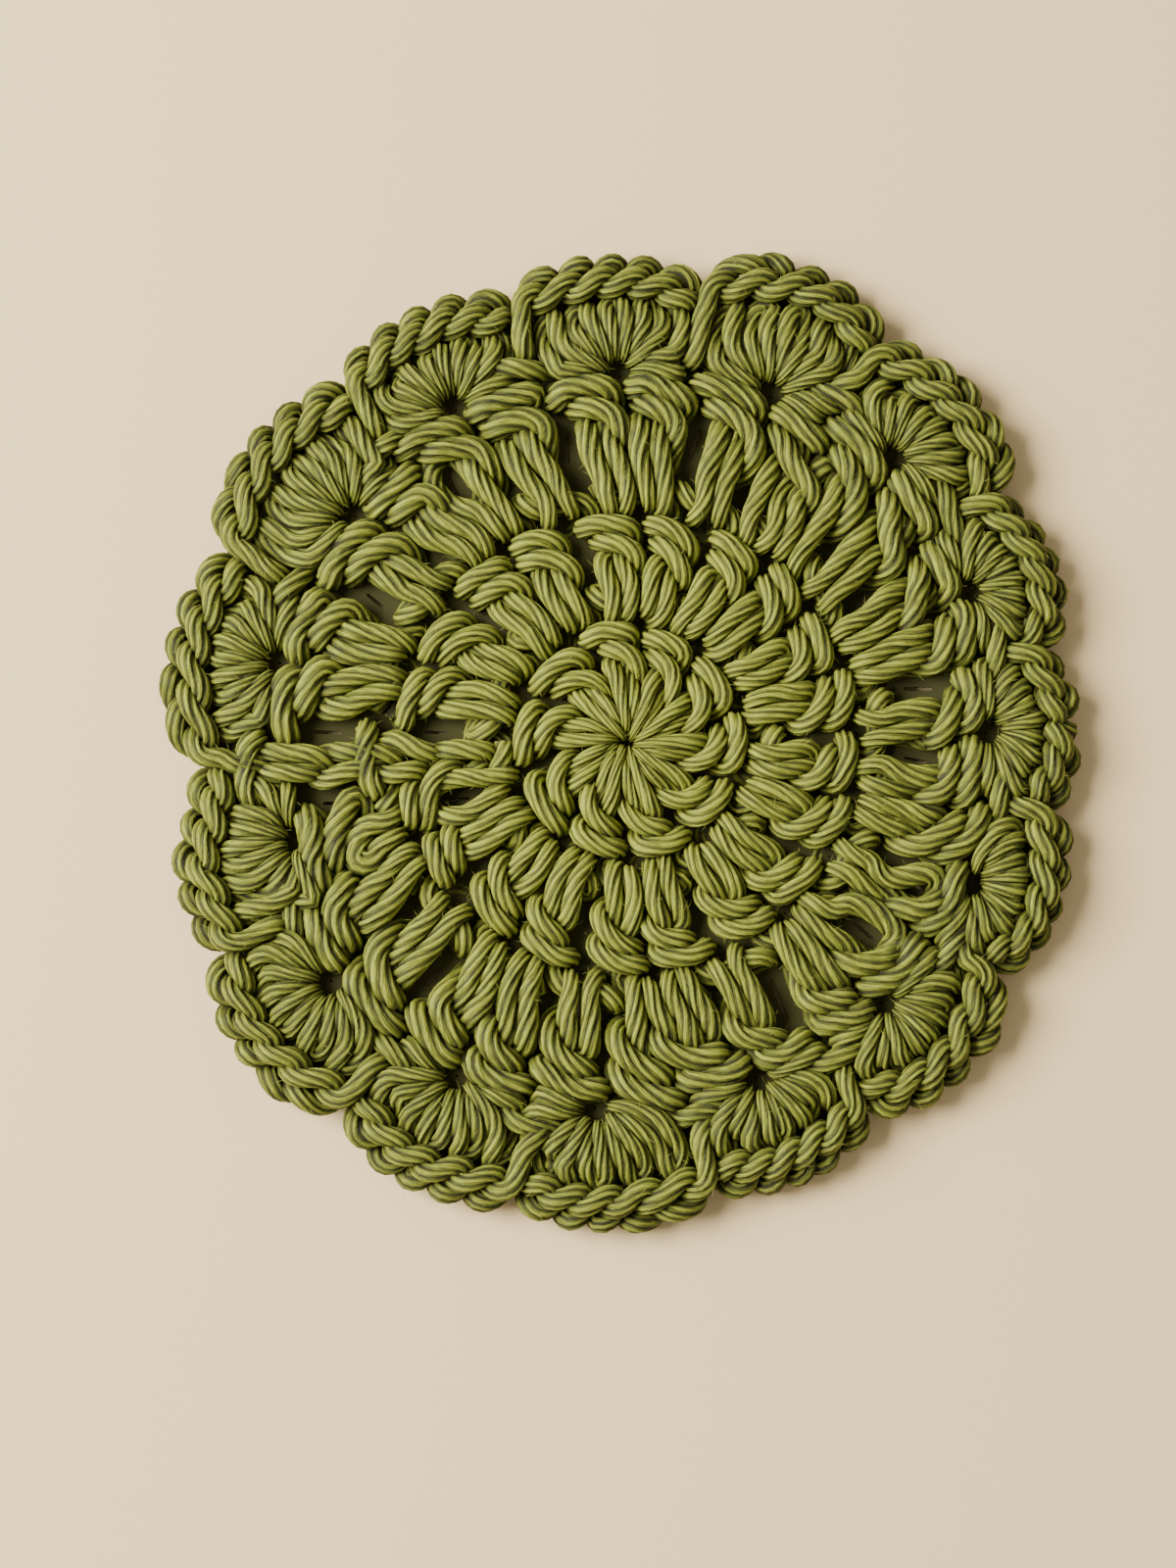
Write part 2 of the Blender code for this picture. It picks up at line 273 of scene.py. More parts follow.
# %% One tall stitch
def lay_tall_stitch(
    strand, hole, top, last_top, shift=0.0, tight=1.0, bend=None, wide=1.0, kind="middle"
):
    """Lays one tall stitch, from the loop that it hangs on to the foot of the next loop.

    shift moves the legs sideways in their hole, tight is the yarn's thickness at the hole,
    bend is the point that the post curves towards, where it isn't straight, and wide spreads
    the post and lets its yarn swell where there is more room round it."""
    bend = (hole + top) / 2 if bend is None else bend
    length = np.linalg.norm(top - hole)

    def post(far, across, height):
        """A point beside the post's middle line. far is in millimetres from the hole, or
        from the top where it is less than zero."""
        share = far / length if far >= 0 else 1 + far / length
        # A post is held at both ends, so the hand strays most halfway up.
        free = 4 * share * (1 - share)
        share += 0.06 * free * hand(top, 3.1)
        place = hole * (1 - share) ** 2 + bend * 2 * share * (1 - share) + top * share**2
        ahead = (bend - hole) * (1 - share) + (top - bend) * share
        right = unit(np.array([ahead[1], -ahead[0]]))
        # Its yarn is pinched at the hole, and soon as full as there is room for.
        soft = tight + (1 - tight) * min(1.0, max(0.0, share * 1.5))
        fuller = 1 + (wide - 1) * min(1.0, 2.5 * share)
        astray = hand(top + far + across)
        aside = across * soft * (1 + (fuller - 1) * min(1.0, abs(across) / 3))
        aside += shift * max(0.0, 1 - 1.2 * share) + 0.42 * astray + 0.45 * free * hand(top, 4.7)
        strand.add(place + right * aside, height + 0.3 * astray, soft * (0.6 + 0.4 * fuller))

    lay_loop(strand, top, last_top, kind)
    # The wrap: behind the post, round its left side, across the front and away to the right.
    wrap = [
        (-4.0, 2.0, -2.1),
        (-4.2, -0.4, -2.1),
        (-4.2, -2.0, -0.6),
        (-4.4, -1.7, 1.3),
        (-5.2, -0.4, 2.6),
        (length * 0.60, 1.0, 3.1),
        (length * 0.49, 2.2, 2.8),
        (length * 0.39, 2.9, 1.4),
        (length * 0.33, 2.7, -0.3),
        (length * 0.29, 1.9, -1.7),
    ]
    # The right leg, up from the back through the hole and over the loop outside it.
    right_leg = [
        (1.6, 0.9, -2.3),
        (0.1, 0.7, -1.2),
        (0.0, 0.6, 0.6),
        (0.8, 0.7, 2.3),
        (2.2, 1.0, 3.1),
        (4.2, 1.3, 2.5),
        (length * 0.5, 1.3, 1.5),
    ]
    # Its head, under the arch, and the left leg, back down into the hole.
    head = [(-6.0, 0.8, 0.9), (-4.9, -0.2, 0.6), (-5.6, -1.3, 1.0), (length * 0.5, -1.4, 1.6)]
    left_leg = [(far, -across, height) for far, across, height in right_leg[-2::-1]]
    # The strand that climbs the back, comes forward at the right and lays an arch over the
    # top of the post before it becomes the foot of the next loop.
    climb = [
        (length * 0.4, -0.6, -2.0),
        (length * 0.6, 0.0, -1.9),
        (-6.2, 1.8, -1.5),
        (-5.3, 3.1, 0.2),
        (-4.4, 3.2, 1.9),
        (-3.4, 1.7, 2.8),
        (-3.2, -0.4, 2.9),
        (-3.4, -2.2, 2.3),
        (-3.5, -3.1, 0.8),
        (-2.8, -2.6, -0.8),
        (-1.4, -1.3, -0.9),
    ]
    for far, across, height in wrap + right_leg + head + left_leg + climb:
        post(far, across, height)
    strand.add(top, -0.1)


practise("A tall stitch", lay_tall_stitch, polar(0, ROUND_1), polar(0, ROUND_2), polar(18, ROUND_2))

# %% [markdown]
# ## The stitches of the rim and the seam
#
# A shell's stitches are short. Their legs leave the eye like the ribs of a fan, and their loops
# follow each other along the edge as a braid. A slip stitch, which has no post, holds the rim
# down between two shells. The second and the third round start with a column of chain stitches,
# and a strand that crosses its top closes the round. These could be tall stitches made shorter,
# but their yarn goes another way, so each kind has a list of its own.

# %% A stitch of a shell
LEG_SPREAD = 11  # degrees between a leg and the heading of its stitch


def lay_fan_stitch(strand, eye, heading, top, last_top):
    """Lays one stitch of a shell. Its two legs leave the eye like rays, one on each side of
    the heading, and end under the braid of the rim."""
    lay_loop(strand, top, last_top, "rim")
    out = unit(top)
    rows = [
        # from the eye, height, thickness
        (3.4, -2.3, 0.8),
        (2.0, -1.8, 0.55),
        (1.6, -0.6, 0.5),
        (1.6, 0.8, 0.5),
        (2.1, 2.0, 0.55),
        (3.2, 2.8, 0.65),
        (4.8, 2.8, 0.8),
        (6.4, 2.3, 0.92),
        (7.6, 1.4, 0.98),
    ]
    strand.add(top - out * 3.0, -2.2)
    for far, height, thick in rows:
        strand.add(eye + polar(heading - LEG_SPREAD, far), height, thick)
    # The head: the strand turns under the braid and comes back.
    aside = polar(heading - 90, 0.7)
    strand.add(top - out * 1.9 + aside, 0.2, 0.95)
    strand.add(top - out * 0.9, -0.3, 0.95)
    strand.add(top - out * 1.9 - aside, 0.2, 0.95)
    for far, height, thick in rows[::-1]:
        strand.add(eye + polar(heading + LEG_SPREAD, far), height, thick)
    strand.add(eye + (top - eye) * 0.6, -2.2)
    strand.add(top - out * 0.6, -1.8)
    strand.add(top, -0.6)


practise("A stitch of a shell", lay_fan_stitch, polar(0, 44), 0, polar(0, 54), polar(4, 54))


# %% The slip stitch between two shells
def lay_slip_stitch(strand, hole, top, last_top):
    """Lays the short stitch between two shells. Its loop hangs on the last top, and one long
    arm of it runs from the outer edge over the valley and down into the hole."""
    out = unit(top)
    right = np.array([out[1], -out[0]])
    depth = np.linalg.norm(top - hole)
    rows = [
        # towards the hole, to the right, height
        (-1.1, 2.0, 1.0),
        (-0.9, 1.3, 2.2),
        (0.2, 0.7, 3.0),
        (2.4, 0.5, 3.2),
        (depth - 2.0, -0.1, 2.8),
        (depth - 0.6, -0.5, 1.4),
        (depth, -0.6, -0.4),
        (depth - 1.6, -0.3, -2.0),
        (depth * 0.5, 0.0, -2.2),
        (0.6, 0.0, -1.7),
    ]
    strand.add(last_top + out * 0.2, 0.8)
    for inward, aside, height in rows:
        strand.add(top - out * inward + right * aside, height)
    strand.add(top, -0.4)


practise("A slip stitch", lay_slip_stitch, polar(0, 44), polar(0, 52), polar(5, 54))


# %% The column of chain stitches
def lay_chain(strand, base, top, steps=2):
    """Lays a column of chain stitches, each loop drawn through the one below it, and the
    strand that crosses them where the round is joined."""
    up = (top - base) / steps
    side = unit(np.array([up[1], -up[0]]))
    rows = [
        # up the chain, to the side, height
        (0.05, 0.3, -0.2),
        (0.22, 0.8, 1.7),
        (0.60, 1.6, 2.5),
        (0.95, 1.7, 2.0),
        (1.22, 0.9, 0.7),
        (1.22, -0.9, 0.6),
        (0.95, -1.7, 1.6),
        (0.60, -1.6, 2.2),
        (0.22, -0.7, 1.6),
        (0.05, -0.2, -0.2),
        (0.30, 0.0, -1.9),
        (0.80, 0.0, -2.0),
    ]
    for step in range(steps):
        for far, aside, height in rows:
            strand.add(base + up * (step + far) + side * aside, height)
    crossing = [
        # past the top, to the side, height
        (1.8, 3.6, -1.8),
        (1.6, 4.8, 0.2),
        (1.2, 3.8, 2.4),
        (1.3, 1.2, 3.5),
        (1.6, -1.8, 3.4),
        (1.9, -4.0, 2.0),
        (1.9, -4.6, 0.2),
        (1.8, -2.8, -1.4),
    ]
    for far, aside, height in crossing:
        strand.add(top + unit(up) * far + side * aside, height, 1.1)
    strand.add(top, -0.4)


practise("A column of chains", lay_chain, polar(SEAM[0], ROUND_1), polar(SEAM[1], ROUND_2))

# %% [markdown]
# ## The four rounds
#
# The maker works all rounds with one strand. Here each round is a strand of its own, and each
# shell too, so that no piece grows too heavy to handle. A round is a loop over its holes: it
# finds where each stitch starts and ends, and lays that stitch's points. The alternative, one
# array of equal stitches on a circle, would lose the uneven spacing that shows handwork.

# %% The inner three rounds
RING = 0.8  # how far from the middle the first round's legs start
SIDE_BY_SIDE = 1.5  # how far aside each of two stitches in one hole moves
POST_ROOM = 6.2  # the distance between two tops at which a post has its plain width


def first_round():
    """Ten stitches that swirl out of a ring pulled shut."""
    strand = Strand()
    angles = middles(HOLES_1)
    tops = [polar(a, ROUND_1 + LOOP_LINE) for a in angles]
    for i, angle in enumerate(angles):
        # Each post starts well clockwise of its top and curves round to it.
        hole = polar(angle - 40, RING)
        bend = polar(angle - 16, 7.5)
        lay_tall_stitch(strand, hole, tops[i], tops[i - 1], tight=0.4, bend=bend)
    return strand


def second_round():
    """The column of chains, then two stitches in each hole of the first round."""
    strand = Strand()
    # The tops stand halfway between the holes that lie under their loops. The first is the
    # seam's own.
    edge = [SEAM[1] - 5.5, SEAM[1] + 3] + HOLES_2[1:]
    tops = [polar(a, ROUND_2 + LOOP_LINE) for a in middles(edge)]
    tops[0] = polar(SEAM[1], ROUND_2 + LOOP_LINE)
    lay_chain(strand, polar(SEAM[0], ROUND_1), tops[0])
    for i in range(1, len(tops)):
        hole = polar(HOLES_1[(i - 1) // 2], ROUND_1)
        shift = SIDE_BY_SIDE if i % 2 == 1 else -SIDE_BY_SIDE
        lay_tall_stitch(strand, hole, tops[i], tops[i - 1], shift, tight=0.85)
    return strand


def third_round():
    """The column of chains, then two stitches and one in turn. Every second loop lies under
    a fan."""
    strand = Strand()
    # The tops stand between the notches and the eyes, but for the seam's and its neighbour.
    edge = [angle for row in SHELLS for angle in (row[0], row[2])]
    angles = middles(edge)
    angles[0], angles[1] = SEAM[2], 200.0
    tops = [polar(a, float(eye_radius(a)) + LOOP_LINE) for a in angles]
    lay_chain(strand, polar(SEAM[1], ROUND_2), tops[0])
    i = 1
    for number, angle in enumerate(HOLES_2[1:]):
        hole = polar(angle, ROUND_2)
        for shift in [SIDE_BY_SIDE, -SIDE_BY_SIDE] if number % 2 == 0 else [0.0]:
            kind = "under a fan" if i % 2 == 1 else "middle"
            wide = np.linalg.norm(tops[i] - tops[i - 1]) / POST_ROOM
            lay_tall_stitch(strand, hole, tops[i], tops[i - 1], shift, tight=0.8, wide=wide, kind=kind)
            i += 1
    return strand


strands = [first_round(), second_round(), third_round()]
print("Points in the inner rounds:", [len(one.points) for one in strands])

# %% The round of shells
FAN = 5  # stitches in a shell
FAN_STEP = 43.0  # degrees between two stitches of a shell where they leave the eye
BRAID = 4.1  # how far inside the outline the tops of a shell's stitches lie
SLIP_INSIDE = 3.7  # how far inside the outline the top of a slip stitch lies
SEAM_SLIP_INSIDE = 2.4  # the same where the rim is joined


def slip_top(notch):
    """The top of the slip stitch, a little inside the rim at its notch."""
    inside = SEAM_SLIP_INSIDE if notch % 360 == NOTCHES[0] else SLIP_INSIDE
    return polar(notch, rim_radius(notch)[0] - inside)


def fourth_round():
    """Fifteen shells. Each is a strand of its own, which ends in the next slip stitch."""
    shells = []
    last = slip_top(NOTCHES[0])
    for (start, _, eye, eye_mm, _), end in zip(SHELLS, following(NOTCHES)):
        strand = Strand()
        hole = polar(eye, eye_mm)
        for number in range(FAN):
            share = (number + 1) / (FAN + 1)
            # The braid follows the eye where that is off the middle of its shell, but only
            # half the way, because yarn won't bunch up.
            angle = eye + (2 * share - 1) * (eye - start if share < 0.5 else end - eye)
            angle = (angle + start + share * (end - start)) / 2
            top = polar(angle, rim_radius(angle)[0] - BRAID)
            heading = eye + (number - FAN // 2) * FAN_STEP + 6.0 * hand(top, 2.3)
            lay_fan_stitch(strand, hole, heading, top, last)
            last = top
        lay_slip_stitch(strand, polar(end, float(eye_radius(end)) + 1.0), slip_top(end), last)
        last = slip_top(end)
        shells.append(strand)
    return shells


strands += fourth_round()
print("Points laid:", sum(len(one.points) for one in strands), "in", len(strands), "strands")

# %% [markdown]
# ## Smooth curves through the points
#
# Blender's own curves could carry the yarn, but the next step moves thousands of points at
# once, and that is quick only on plain arrays of numbers. So each path is read as a smooth
# curve here (a Catmull-Rom spline) and cut into even steps.


# %% Even steps along a smooth path
def spline(points, fine=8):
    """A smooth curve through the points."""
    ends = np.concatenate([[2 * points[0] - points[1]], points, [2 * points[-1] - points[-2]]])
    a, b, c, d = ends[:-3], ends[1:-2], ends[2:-1], ends[3:]
    t = (np.arange(fine) / fine)[None, :, None]
    a, b, c, d = (p[:, None, :] for p in (a, b, c, d))
    curve = 0.5 * (
        2 * b + (c - a) * t + (2 * a - 5 * b + 4 * c - d) * t**2 + (3 * b - a - 3 * c + d) * t**3
    )
    return np.concatenate([curve.reshape(-1, points.shape[1]), points[-1:]])


def even_steps(curve, step):
    """The same curve with its points an even step apart. The first three columns are places,
    and any more are carried along."""
    lengths = np.linalg.norm(np.diff(curve[:, :3], axis=0), axis=1)
    along = np.concatenate([[0], np.cumsum(lengths)])
    count = max(4, int(round(along[-1] / step)))
    at = np.linspace(0, along[-1], count + 1)
    return np.stack([np.interp(at, along, column) for column in curve.T], axis=1)


STEP = 1.0  # millimetres between two points of a path
paths = [even_steps(spline(np.array(one.points)), STEP) for one in strands]
print("Metres of yarn by the plan:", round(sum(len(path) for path in paths) * STEP / 1000, 2))

# %% [markdown]
# ## Letting the strands settle
#
# Laid by plan alone, strands would pass through each other where the yarn is crowded. Real
# yarn can't, so it slides aside and packs. This step does the same in many small moves: points
# nearer than the yarn is thick push each other apart, each run of yarn tries to stay smooth and
# keep its length, and every point is drawn gently back to its place in the plan. Nothing is
# random, so the result is the same each time. A physics simulation could do it too, but it
# would give less say over where each stitch ends up.


# %% Points that are near each other
def near_pairs(places, reach, skip, run):
    """Pairs of points within reach of each other, apart from close neighbours on one run.
    Space is cut into cells one reach wide, so that each point looks only into the cells
    beside its own, and each pair of cells is looked at once."""
    cell = np.floor(places / reach).astype(np.int64)
    cell -= cell.min(axis=0)
    wide = cell.max(axis=0) + 3
    key = ((cell[:, 0] + 1) * wide[1] + cell[:, 1] + 1) * wide[2] + cell[:, 2] + 1
    order = np.argsort(key, kind="stable")
    sorted_key = key[order]
    found = []
    steps = [(x, y, z) for x in (-1, 0, 1) for y in (-1, 0, 1) for z in (-1, 0, 1)]
    for x, y, z in steps:
        offset = (x * wide[1] + y) * wide[2] + z
        if offset < 0:
            continue
        start = np.searchsorted(sorted_key, key + offset, side="left")
        count = np.searchsorted(sorted_key, key + offset, side="right") - start
        first = np.repeat(np.arange(len(places)), count)
        inner = np.arange(count.sum()) - np.repeat(np.cumsum(count) - count, count)
        second = order[np.repeat(start, count) + inner]
        keep = first < second if offset == 0 else np.ones(len(first), bool)
        found.append(np.stack([first[keep], second[keep]]))
    a, b = np.concatenate(found, axis=1)
    apart = (np.abs(a - b) > skip) | (run[a] != run[b])
    near = ((places[a] - places[b]) ** 2).sum(axis=1) < reach**2
    keep = apart & near
    return a[keep], b[keep]


# %% The places that stay open
def kept_open():
    """The places that the strands stay out of: the holes of each round, the eyes of the
    shells and the gaps. Each is a short line with a radius round it."""
    # Each row: angle, radius of its place, half its line's length, radius kept open, lean.
    spots = [(a, ROUND_1 - 0.4, 0.0, 0.7, 0.0) for a in HOLES_1]
    spots += [(a, ROUND_2 - 0.4, 0.0, 0.9, 0.0) for a in HOLES_2[1:]]
    spots += [(row[2], row[3] - 0.2, 0.0, 1.2, 0.0) for row in SHELLS]
    spots += [(a, r, (long - wide) / 2, wide / 2 + 0.55, lean) for a, r, long, wide, lean in GAPS]
    return [(polar(a, r), polar(a + lean, 1.0), half, radius) for a, r, half, radius, lean in spots]


def keep_out(points, thick, spots):
    """Moves points sideways out of the places that stay open."""
    for middle, along, half, radius in spots:
        near = np.flatnonzero((np.abs(points[:, :2] - middle) < half + radius + 2).all(axis=1))
        offset = points[near, :2] - middle
        offset -= np.clip(offset @ along, -half, half)[:, None] * along
        far = np.maximum(np.linalg.norm(offset, axis=1), 1e-6)
        short = np.maximum(radius + thick[near] * 0.45 - far, 0) * 0.35
        points[near, :2] += offset / far[:, None] * short[:, None]


print("The strands stay out of", len(kept_open()), "places")

# %% Push the strands apart
MOVES = 120  # how many times every point is moved
SOFTNESS = 0.93  # cotton gives, so two strands lie this share of their thickness apart


def settle(paths):
    """Moves the points of all the paths until the strands lie beside each other. Each rule
    takes a point only part of the way, so that no rule undoes the others."""
    spots = kept_open()
    points = np.concatenate([path[:, :3] for path in paths])
    thick = np.concatenate([path[:, 3] for path in paths]) * YARN
    run = np.concatenate([np.full(len(path), i) for i, path in enumerate(paths)])
    home = points.copy()
    inner = np.zeros(len(points), bool)
    inner[1:-1] = (run[1:-1] == run[:-2]) & (run[1:-1] == run[2:])
    same = run[1:] == run[:-1]
    rest = np.linalg.norm(np.diff(home, axis=0), axis=1)
    for move in range(MOVES):
        # Points move little, so the pairs are found anew only at each fifth move. Points up
        # to four steps apart on one run are neighbours and don't push each other.
        if move % 5 == 0:
            a, b = near_pairs(points, YARN * 1.15, 4, run)
            need = (thick[a] + thick[b]) / 2 * SOFTNESS
        # Two strands that lie too near push each other apart.
        gap = points[a] - points[b]
        far = np.maximum(np.linalg.norm(gap, axis=1), 1e-6)
        push = np.maximum(need - far, 0) * 0.32
        shift = gap / far[:, None] * push[:, None]
        total = np.zeros_like(points)
        for column in range(3):
            total[:, column] += np.bincount(a, shift[:, column], len(points))
            total[:, column] -= np.bincount(b, shift[:, column], len(points))
        # A point that is pushed from many sides moves by less than the sum.
        touching = push > 0
        hits = np.bincount(a[touching], minlength=len(points))
        hits += np.bincount(b[touching], minlength=len(points))
        total /= np.maximum(1, hits / 2.5)[:, None]
        points += total
        # Each run keeps its length and stays smooth, and is drawn back to the plan.
        along = np.diff(points, axis=0)
        length = np.maximum(np.linalg.norm(along, axis=1), 1e-6)
        pull = along * ((length - rest) / length * 0.35 * same)[:, None]
        points[:-1] += pull / 2
        points[1:] -= pull / 2
        ease = np.zeros_like(points)
        ease[1:-1] = (points[:-2] + points[2:]) / 2 - points[1:-1]
        points[inner] += ease[inner] * 0.10
        points += (home - points) * 0.04
        keep_out(points, thick, spots)
        # The table is below, and above nothing holds a strand up: it sinks back.
        points[:, 2] -= np.maximum(points[:, 2] + thick / 2 - HIGHEST, 0) * 0.5
        points[:, 2] = np.maximum(points[:, 2], thick * 0.54)
    overlap = np.maximum(need - far, 0)
    print("Strands overlap by", round(float(overlap.mean()), 3), "mm on average")
    # A last smoothing takes out small kinks.
    for _ in range(3):
        ease = (points[:-2] + points[2:]) / 2 - points[1:-1]
        points[1:-1][inner[1:-1]] += ease[inner[1:-1]] * 0.4
    cuts = np.cumsum([len(path) for path in paths])[:-1]
    return [
        np.concatenate([part, path[:, 3:]], axis=1)
        for part, path in zip(np.split(points, cuts), paths)
    ]


paths = settle(paths)
print("The highest point of a path is", round(float(max(p[:, 2].max() for p in paths)), 2), "mm up")

# %% [markdown]
# ## From a path to a strand
#
# The yarn is loosely spun from seven plies that wind slowly round each other. A round tube would
# look like wire, so the tube's section has seven lobes, and it turns as it goes along, which
# lays the plies as real ridges. A bevelled curve could carry such a section too, but it could
# not tell the material where a corner lies on its ply. Here each corner keeps numbers for that:
# how deep it lies between two plies, and where it would be if the yarn were pulled straight.

# %% The section of seven plies
PLIES = 7
PLY_SIDES = 3  # corners of the section for each ply
PLY_DEPTH = 0.28  # how deep the valleys between plies are, as a share of the radius
TWIST = 19.0  # the length of one full turn of the plies, in millimetres
TUBE_STEP = 0.65  # millimetres between two rings of corners
SETTLED_SHARE = 0.97  # a strand among others is pressed a little thinner


def section():
    """The yarn's section: for each corner its angle, its place across its ply from 0 on the
    crest to 1 in the valley, and the number of its ply."""
    corner = np.arange(PLIES * PLY_SIDES)
    valley = np.array([1.0, 0.1, 0.1])[corner % PLY_SIDES]
    return 2 * math.pi * corner / len(corner), valley, corner // PLY_SIDES


print("The yarn's section has", len(section()[0]), "corners")


# %% The tube of one strand
def frames_along(points):
    """Two directions across a path, which turn round it no more than they must."""
    along = unit(np.gradient(points, axis=0))
    across = np.empty_like(along)
    across[0] = unit(np.cross(along[0], [0, 0, 1.0]))
    for i in range(1, len(points)):
        across[i] = unit(across[i - 1] - along[i] * (across[i - 1] @ along[i]))
    return across, np.cross(along, across)


def yarn_tube(path):
    """The tube of one strand in rings of corners, the middle of each ring, its radius, and
    where the corners would be if the yarn were pulled straight."""
    path = even_steps(spline(path, 4), TUBE_STEP)
    centre = box_centre()
    points = path[:, :3] - np.array([centre[0], centre[1], 0])
    across, upward = frames_along(points)
    angle, valley, ply = section()
    lengths = np.arange(len(points))[:, None] * TUBE_STEP
    turn = angle + 2 * math.pi * (lengths + 2.0 * np.sin(lengths / 9.0)) / TWIST
    # No two plies are spun alike: each swells and sinks, and pushes its valleys about.
    swell = np.sin(lengths / (1.9 + 0.4 * ply) + ply * 2.4) * np.sin(lengths / 7.3 + ply * 1.3)
    turn += 0.2 * valley * np.sin(lengths / 3.1 + ply * 1.9) + 0.06 * swell
    radius = path[:, 3] * YARN / 2 * SETTLED_SHARE
    reach = (1.0 + 0.05 * swell - PLY_DEPTH * valley) * radius[:, None]
    rings = (
        points[:, None, :]
        + (reach * np.cos(turn))[:, :, None] * across[:, None, :]
        + (reach * np.sin(turn))[:, :, None] * upward[:, None, :]
    )
    straight = np.empty_like(rings)
    straight[:, :, 0] = np.cos(angle) * YARN / 2
    straight[:, :, 1] = np.sin(angle) * YARN / 2
    straight[:, :, 2] = lengths
    return {"rings": rings, "middle": points, "radius": radius, "straight": straight}


# The third round is one long strand, and it is cut in two so that its pieces stay light.
third = paths[2]
halfway = len(third) // 2
paths = paths[:2] + [third[: halfway + 1], third[halfway:]] + paths[3:]
tubes = [yarn_tube(path) for path in paths]
print("Rings of corners in all:", sum(len(tube["middle"]) for tube in tubes))

# %% [markdown]
# ## Crevices
#
# Where two strands touch, little light gets in. Blender's ambient occlusion
# node finds such places anew in each render. A number kept at each corner, for how near it lies
# to another strand, is worked out once and stays with the piece wherever that goes. The yarn's
# material paints shade into its colour with it.

# %% How deep each corner lies in a crevice
CREVICE = 0.7  # a corner is in a crevice when another strand is nearer than this


def joined(tubes, key):
    """What all the tubes hold under this name, in one array."""
    return np.concatenate([tube[key] for tube in tubes])


def find_crevices(tubes):
    """Gives each corner a number from 1, where another strand touches it, down to 0."""
    middle, radius, rings = (joined(tubes, key) for key in ("middle", "radius", "rings"))
    run = np.concatenate([np.full(len(tube["middle"]), i) for i, tube in enumerate(tubes)])
    gap = np.full(rings.shape[:2], CREVICE)
    a, b = near_pairs(middle, YARN + CREVICE, 5, run)
    for here, there in ((a, b), (b, a)):
        away = np.linalg.norm(rings[here] - middle[there][:, None, :], axis=2)
        np.minimum.at(gap, here, away - radius[there][:, None])
    crevice = 1 - np.clip(gap / (CREVICE * radius[:, None] / (YARN / 2)), 0, 1)
    starts = np.cumsum([len(tube["middle"]) for tube in tubes])[:-1]
    for tube, part in zip(tubes, np.split(crevice, starts)):
        tube["crevice"] = part


find_crevices(tubes)
print("Share of corners in a crevice:", round(float((joined(tubes, "crevice") > 0).mean()), 2))

# %% [markdown]
# ## The pieces of yarn
#
# Each ring of corners is joined to the next with four-sided faces, and both ends of a strand
# are closed, so that every strand is a solid body. The pieces are named for the rounds, and the
# fifteen shells make three pieces of five. Curve objects would do for the shape, but only a
# mesh can hold the numbers that the material reads at each corner.


# %% From tubes to pieces
def put_in_scene(name, data):
    """Puts a mesh, a light or a camera into the scene under this name."""
    made = bpy.data.objects.new(name, data)
    bpy.context.scene.collection.objects.link(made)
    return made


def smooth_piece(name, corners, faces):
    """A piece with these faces and corners, which are in millimetres."""
    mesh = bpy.data.meshes.new(name)
    mesh.from_pydata((corners / 1000).tolist(), [], faces)
    mesh.shade_smooth()
    return put_in_scene(name, mesh)


def yarn_piece(name, tubes):
    """One piece of closed tubes, with the numbers that its material reads."""
    _, valley, _ = section()
    sides = len(valley)
    faces, before = [], 0
    for tube in tubes:
        count = len(tube["middle"])
        row = np.arange(count - 1)[:, None] * sides + before
        here = np.arange(sides)[None, :]
        ahead = (here + 1) % sides
        quads = [row + here, row + ahead, row + sides + ahead, row + sides + here]
        faces += np.stack(quads, axis=2).reshape(-1, 4).tolist()
        faces.append(list(range(before + sides - 1, before - 1, -1)))
        faces.append(list(range(before + (count - 1) * sides, before + count * sides)))
        before += count * sides
    made = smooth_piece(name, joined(tubes, "rings").reshape(-1, 3), faces)
    # Each strand starts further along, so that no two have the same pattern.
    places = [tube["straight"] + [0, 0, 40.0 * i] for i, tube in enumerate(tubes)]
    numbers = [
        ("ply_valley", "FLOAT", "value", np.tile(valley, before // sides)),
        ("crevice", "FLOAT", "value", joined(tubes, "crevice")),
        ("on_straight_yarn", "FLOAT_VECTOR", "vector", np.concatenate(places)),
    ]
    for label, kind, field, values in numbers:
        kept = made.data.attributes.new(label, kind, "POINT")
        kept.data.foreach_set(field, values.ravel().astype(np.float32))
    return made


groups = {
    "yarn_first_round": tubes[0:1],
    "yarn_second_round": tubes[1:2],
    "yarn_third_round_low": tubes[2:3],
    "yarn_third_round_high": tubes[3:4],
    "yarn_shells_low": tubes[4:9],
    "yarn_shells_right": tubes[9:14],
    "yarn_shells_high": tubes[14:19],
}
yarns = []
for name, group in groups.items():
    yarn = yarn_piece(name, group)
    yarns.append(yarn)
    length = sum(len(tube["middle"]) for tube in group) * TUBE_STEP / 1000
    print(name, len(yarn.data.polygons), "faces", round(length, 2), "m")

# %% [markdown]
# ## Loose fibres
#
# Cotton is spun from short fibres, and some of their ends stand off the yarn, which gives the
# rim its slight fuzz. Blender's hair would be the usual way, but hair is no mesh, and it would be
# lost where only the shapes are kept. So each fibre is a tiny closed tube of three sides that
# ends in a point.

# %% Lay the fibres
TRIED = 13999  # places on the yarn that are tried: one in a crevice gets no fibre
FIBRE = 0.045  # a fibre's thickness: real ones are a third of it and wouldn't show
BURIED = 0.1  # how deep a fibre's foot is set into the yarn
LOWEST = 0.1  # a fibre's tip stays this far above the table
FIBRE_CORNERS = 7


